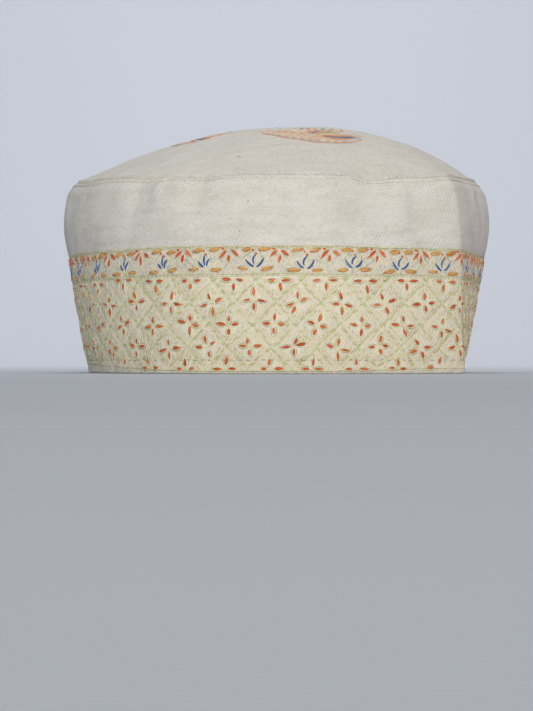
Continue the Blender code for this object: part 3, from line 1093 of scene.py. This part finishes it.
rows = (np.tile(tulip_feet, 2)[:, None] + VINES).reshape(-1, 4)
rows = rows + rng.normal(0, 0.22, rows.shape)
pale = rng.uniform(0, 1, len(rows)) < 0.6
half_way = (rows[:, 0:2] + rows[:, 2:4]) / 2
first = lines(rows[:, 0:2], half_way, 3, 0.08)
second = lines(half_way, rows[:, 2:4], 3, -0.08)
cream_threads = [
    sewn(band_place, np.concatenate((first[pale], second[pale])), 0.19, (0.3, 1), rise=0.35),
    sewn(band_place, tulip_sides(0.34), 0.15, (0.2, 1), rise=0.4),
    sewn(band_place, outline_of(red_leaves, 0.30, 0.35), 0.15, (0.2, 1), rise=0.4),
    sewn(band_place, outline_of(leaves, 0.34, 0.35), 0.15, (0.2, 1), rise=0.4),
]
cream_floss = floss("cream_border_floss", (228, 224, 184), (246, 242, 212), (252, 250, 234))
thread_piece("border_vines_pale", cream_floss, *cream_threads)
grey_vines = np.concatenate((first[~pale], second[~pale]))
grey_floss = floss("grey_green_floss", (150, 164, 176), (172, 182, 172), (196, 200, 172))
thread_piece("border_vines_grey", grey_floss, sewn(band_place, grey_vines, 0.15, (0, 1), rise=0.35))


# Hem stitches and stray marks
# A row of machine stitches that holds the turned hem, about 5 mm above the edge, all but sunk in the
# needlework, with an olive knot and dark fibres of wool that the spinning left in the cloth.
HEM_STITCH_UP = 5.3
starts = starts_round(3.1)
stops = coords(starts + 1.9, HEM_STITCH_UP + rng.normal(0, 0.1, len(starts)))
hem_thread = floss("grey_hem_thread", (112, 112, 84), (158, 156, 124), (204, 198, 170))
paths = lines(coords(starts, HEM_STITCH_UP), stops)
thread_piece("hem_stitches", hem_thread, sewn(band_place, paths, 0.15, (0, 1), rise=0.3))

KNOT_STITCHES = 34
knot_starts = (9.6, 5.0) + rng.normal(0, 0.62, (KNOT_STITCHES, 2))
knot_ends = knot_starts + rng.normal(0, 0.6, (KNOT_STITCHES, 2))
olive = floss("olive_knot", (176, 176, 112), (196, 196, 136), (212, 209, 156))
thread_piece("olive_knot", olive, sewn(band_place, lines(knot_starts, knot_ends, 3), 0.16, (0, 1), rise=0.1))

fibre_starts = np.array(((-12.0, 11.6), (-14.6, 22.6)))
wall_fibres = lines(fibre_starts, fibre_starts + ((0.35, -1.0), (0.5, 0.4)), 4, 0.1)
crown_fibre = lines(np.array(((-14.6, 70.0),)), np.array(((-15.6, 71.6),)), 4, 0.1)
thread_piece(
    "dark_fibres", floss("dark_wool_fibre", (70, 64, 60), (96, 88, 80)),
    sewn(seam_place, wall_fibres, 0.12, np.array((0.2, 0.6))),
    sewn(crown_place, crown_fibre, 0.12, np.array((0.9,))),
    slot="wall_cloth",
)


# Crown needlework
# Four curled leaf shapes turn about a small ten-petalled flower at the middle of the crown. Each is
# outlined in orange with a little blue, filled with rows of peach thread, spread like a fan at its
# broad end, and set with small petals along its inner side.
BUTA_LENGTH = 47.0
BUTA_HALF = 11.0
BUTA_CURL = 1.55
BUTA_STEPS = 120
BUTA_MIDDLE = (22.5, 2.0)
CROWN_MIDDLE = np.array((8.0, -1.0))

# Where each leaf's middle lies on the crown, across and forward, and how far it is turned
BUTAS = (
    (12.5, 43.5, -5.0),
    (49.5, -13.5, 91.0),
    (3.0, -46.0, 176.0),
    (-32.0, 12.0, -79.0),
)

# Share of the leaf's width, colour, half width, and where the line starts and ends along the leaf
OUTLINES = (
    (1.00, "orange", 0.22, -0.01, 1.00),
    (1.00, "blue", 0.16, 0.20, 0.44),
    (0.92, "peach", 0.26, -0.01, 1.00),
    (0.84, "blue", 0.16, 0.30, 0.84),
    (0.76, "peach", 0.32, 0.28, 1.00),
    (0.67, "peach", 0.32, 0.32, 1.00),
    (0.58, "orange", 0.16, 0.36, 1.00),
    (0.49, "peach", 0.32, 0.40, 1.00),
    (0.40, "peach", 0.32, 0.42, 1.00),
    (0.30, "red", 0.14, 0.44, 1.00),
    (0.20, "peach", 0.32, 0.46, 1.00),
    (0.08, "orange", 0.16, 0.48, 1.00),
)
OUTER_LEAD = 0.14
FAN_COLOURS = ("orange", "blue", "orange", "peach", "green", "orange", "blue", "orange", "red")
FAN_AT = 0.50
FAN_TURN = 0.70
FAN_STEP = 0.175
EDGE_PETALS = 9
ROSE_PETALS = 10

# The leaf's bent middle line from its broad end to its curled tip, the way across it, and its half width
along = np.linspace(0, 1, BUTA_STEPS)
heading = 0.30 - BUTA_CURL * along**2.2
strides = coords(np.cos(heading), np.sin(heading))[:-1] * BUTA_LENGTH / (BUTA_STEPS - 1)
spine = np.concatenate((np.zeros((1, 2)), np.cumsum(strides, axis=0)))
across = coords(-np.sin(heading), np.cos(heading))
width = BUTA_HALF * np.sin(math.pi * along**0.66) ** 0.85
crown_threads = {"blue": [], "orange": [], "red": [], "peach": [], "green": []}


def on_crown(points, place):
    """Moves points of a leaf from its own plan to its place on the crown."""
    middle_across, middle_forward, degrees = place
    cosine, sine = math.cos(math.radians(degrees)), math.sin(math.radians(degrees))
    x = BUTA_MIDDLE[0] - points[..., 0]
    y = points[..., 1] - BUTA_MIDDLE[1]
    return coords(middle_across + x * cosine + y * sine, middle_forward - x * sine + y * cosine)


def line_stitches(points, length=3.4, wide_gap=1.22):
    """Cuts a drawn line into short stitches that follow it."""
    reach = reach_along(points)
    count = max(2, round(reach[-1] / length))
    cuts = np.linspace(0, reach[-1], count + 1)
    ts = cuts[:-1, None] + (cuts[1] - cuts[0]) * wide_gap * np.linspace(0, 1, 4)
    return coords(np.interp(ts, reach, points[:, 0]), np.interp(ts, reach, points[:, 1]))


def draw(colour, path, half):
    tones = np.clip(rng.normal(0.5, 0.22, len(path)), 0, 1)
    crown_threads[colour].append(sewn(crown_place, path, half, tones, rise=0.3))


def one_leaf(start, stop, half, strands, swell=0.85):
    return satin_leaf(np.array([(*start, *stop, half)]), strands, swell)


def fan_reach(heart, out):
    """How far a stroke of the fan can run from the heart before it meets the leaf's edge."""
    reaches = np.arange(9.0, 25.0, 0.5)
    tips = heart + reaches[:, None] * out
    apart = np.linalg.norm(tips[:, None] - spine, axis=-1)
    within = apart.min(axis=1) < 0.88 * width[np.argmin(apart, axis=1)]
    return reaches[within].max() if within.any() else reaches[0]


def way_out(turn):
    return np.array((math.sin(turn), math.cos(turn)))


for place in BUTAS:
    for share, colour, half, first, last in OUTLINES:
        for side, start in ((-1, first), (1, first - OUTER_LEAD)):
            shown = (along > start) & (along <= last)
            edge = spine + across * (side * share * width)[:, None]
            draw(colour, on_crown(line_stitches(edge[shown]), place), half)
    heart = spine[np.argmin(np.abs(along - FAN_AT))] + (0.0, 2.5)
    for n, colour in enumerate(FAN_COLOURS):
        fan_way = math.pi + FAN_TURN + (n - (len(FAN_COLOURS) - 1) / 2) * FAN_STEP
        out = np.array((math.cos(fan_way), math.sin(fan_way)))
        leaf = one_leaf(heart + out * 4.5, heart + out * fan_reach(heart, out), 0.72, 4, swell=1.3)
        draw(colour, on_crown(leaf, place), 0.31)
    for n in range(EDGE_PETALS):
        at = 14 + n * 11
        start = spine[at] - across[at] * (width[at] + 1.0)
        stop = spine[at] - across[at] * (width[at] + 3.2) + (1.2, 0)
        draw(("orange", "red", "blue")[n % 3], on_crown(one_leaf(start, stop, 0.5, 3), place), 0.24)
for n in range(ROSE_PETALS):
    out = way_out(TURN * n / ROSE_PETALS)
    petal = one_leaf(CROWN_MIDDLE + out * 3.0, CROWN_MIDDLE + out * 9.0, 1.1, 5)
    draw("orange" if n % 2 else "red", petal, 0.28)
    out = way_out(TURN * (n + 0.5) / ROSE_PETALS)
    draw("blue", one_leaf(CROWN_MIDDLE + out * 7.5, CROWN_MIDDLE + out * 11.5, 0.5, 3), 0.24)
for name, material in (
    ("blue", floss("slate_blue_silk", (76, 102, 136), (108, 134, 160), (148, 168, 184))),
    ("orange", floss("salmon_silk", (222, 140, 84), (230, 164, 112), (236, 188, 142))),
    ("red", floss("coral_silk", (212, 120, 78), (224, 142, 98), (232, 170, 132))),
    ("peach", floss("peach_silk", (228, 200, 168), (238, 218, 194), (244, 232, 214))),
    ("green", green_floss),
):
    thread_piece(f"crown_needlework_{name}", material, *crown_threads[name], slot="crown_cloth")


# Floor and backdrop
# One pale sheet that lies flat under the cap and curves up far behind it, like studio paper.
SWEEP_HALF = 4.0
SWEEP_FRONT = -3.0
SWEEP_BEND = 1.6
SWEEP_RADIUS = 0.9
SWEEP_TOP = 4.0
BEND_STEPS = 24
bends = np.arange(1, BEND_STEPS + 1) / BEND_STEPS * math.pi / 2
sweep_y = np.concatenate(((SWEEP_FRONT, 0, SWEEP_BEND), SWEEP_BEND + SWEEP_RADIUS * np.sin(bends)))
sweep_y = np.append(sweep_y, SWEEP_BEND + SWEEP_RADIUS)
sweep_z = np.concatenate(((0, 0, 0), SWEEP_RADIUS * (1 - np.cos(bends)), (SWEEP_TOP,)))
sweep_points = coords((-SWEEP_HALF, SWEEP_HALF), sweep_y[:, None], sweep_z[:, None]).reshape(-1, 3)
rows = np.arange(len(sweep_y) - 1) * 2
nodes = Nodes("pale_studio_paper")
spot = nodes.tree.nodes.new("ShaderNodeTexCoord").outputs["Object"]
# Painted light: the paper is lighter towards the back, so the backdrop is brighter than the floor.
paper = nodes.ramp(nodes.along(spot, (0, 0.30, 0)), (0.0, (198, 203, 211)), (0.75, (208, 211, 219)))
paper = nodes.finish(paper, nodes.noise(spot, 900.0), 0.02 * MM, 0.9, 0.0)
sweep_quads = coords(rows, rows + 1, rows + 3, rows + 2)
sweep = new_piece("studio_paper", sweep_points, sweep_quads, np.zeros((0, 3), int), paper)


# Studio light
# One broad soft lamp in front, above and a little to the right, a faintly tinted fill on each side, a
# narrow pool of light on the front of the cap, a wash on the backdrop, and dim air.
WARM = (1.0, 0.98, 0.955)
CAP_MIDDLE = (0, 0, 0.05)


def lamp_at(name, kind, place, aim, power, colour):
    """A lamp at a place, turned towards its aim."""
    lamp = bpy.data.lights.new(name, kind)
    lamp.energy = power
    lamp.color = colour
    holder = bpy.data.objects.new(name, lamp)
    holder.location = place
    holder.rotation_euler = (Vector(aim) - Vector(place)).to_track_quat("-Z", "Y").to_euler()
    bpy.context.scene.collection.objects.link(holder)
    return lamp


def soft_lamp(name, place, aim, size, power, colour):
    lamp = lamp_at(name, "AREA", place, aim, power, colour)
    lamp.shape = "SQUARE"
    lamp.size = size


soft_lamp("front_softbox", (0.14, -1.75, 0.62), CAP_MIDDLE, 0.8, 15.6, WARM)
soft_lamp("left_fill", (-1.6, -0.1, 0.7), CAP_MIDDLE, 1.2, 0.85, (0.82, 1.0, 0.96))
soft_lamp("right_fill", (1.6, -0.1, 0.7), CAP_MIDDLE, 1.2, 1.6, (1.0, 0.42, 0.42))
pool = lamp_at("front_pool", "SPOT", (0.0, -1.05, 0.32), (0.001, 0, 0.06), 24.0, WARM)
pool.shadow_soft_size = 0.12
pool.spot_size = math.radians(13.2)
pool.spot_blend = 1.0
soft_lamp("backdrop_wash", (0.0, 0.9, 2.2), (0, 2.4, 0.7), 2.0, 47.0, (0.98, 0.995, 1.0))
world = bpy.data.worlds.new("studio_air")
world.use_nodes = True
world.node_tree.nodes["Background"].inputs["Color"].default_value = (0.80, 0.87, 1.0, 1.0)
world.node_tree.nodes["Background"].inputs["Strength"].default_value = 0.10
bpy.context.scene.world = world
bpy.context.scene.view_settings.view_transform = "Standard"


# Camera
# It stands where the photograph was taken from, but just above the floor, and looks level.
CAMERA_AWAY = 0.78
CAMERA_SIDE = -0.0041
CAMERA_UP = 0.005
CAMERA_TILT = math.radians(0.17)
CAMERA_LENS = 91.3
CAMERA_SENSOR = 36.0
camera_data = bpy.data.cameras.new("camera")
camera_data.lens = CAMERA_LENS
camera_data.sensor_width = CAMERA_SENSOR
camera_data.clip_start = 0.01
camera = bpy.data.objects.new("camera", camera_data)
camera.location = (CAMERA_SIDE, -CAMERA_AWAY, CAMERA_UP)
camera.rotation_euler = (math.pi / 2 + CAMERA_TILT, 0.0, 0.0)
bpy.context.scene.collection.objects.link(camera)
bpy.context.scene.camera = camera
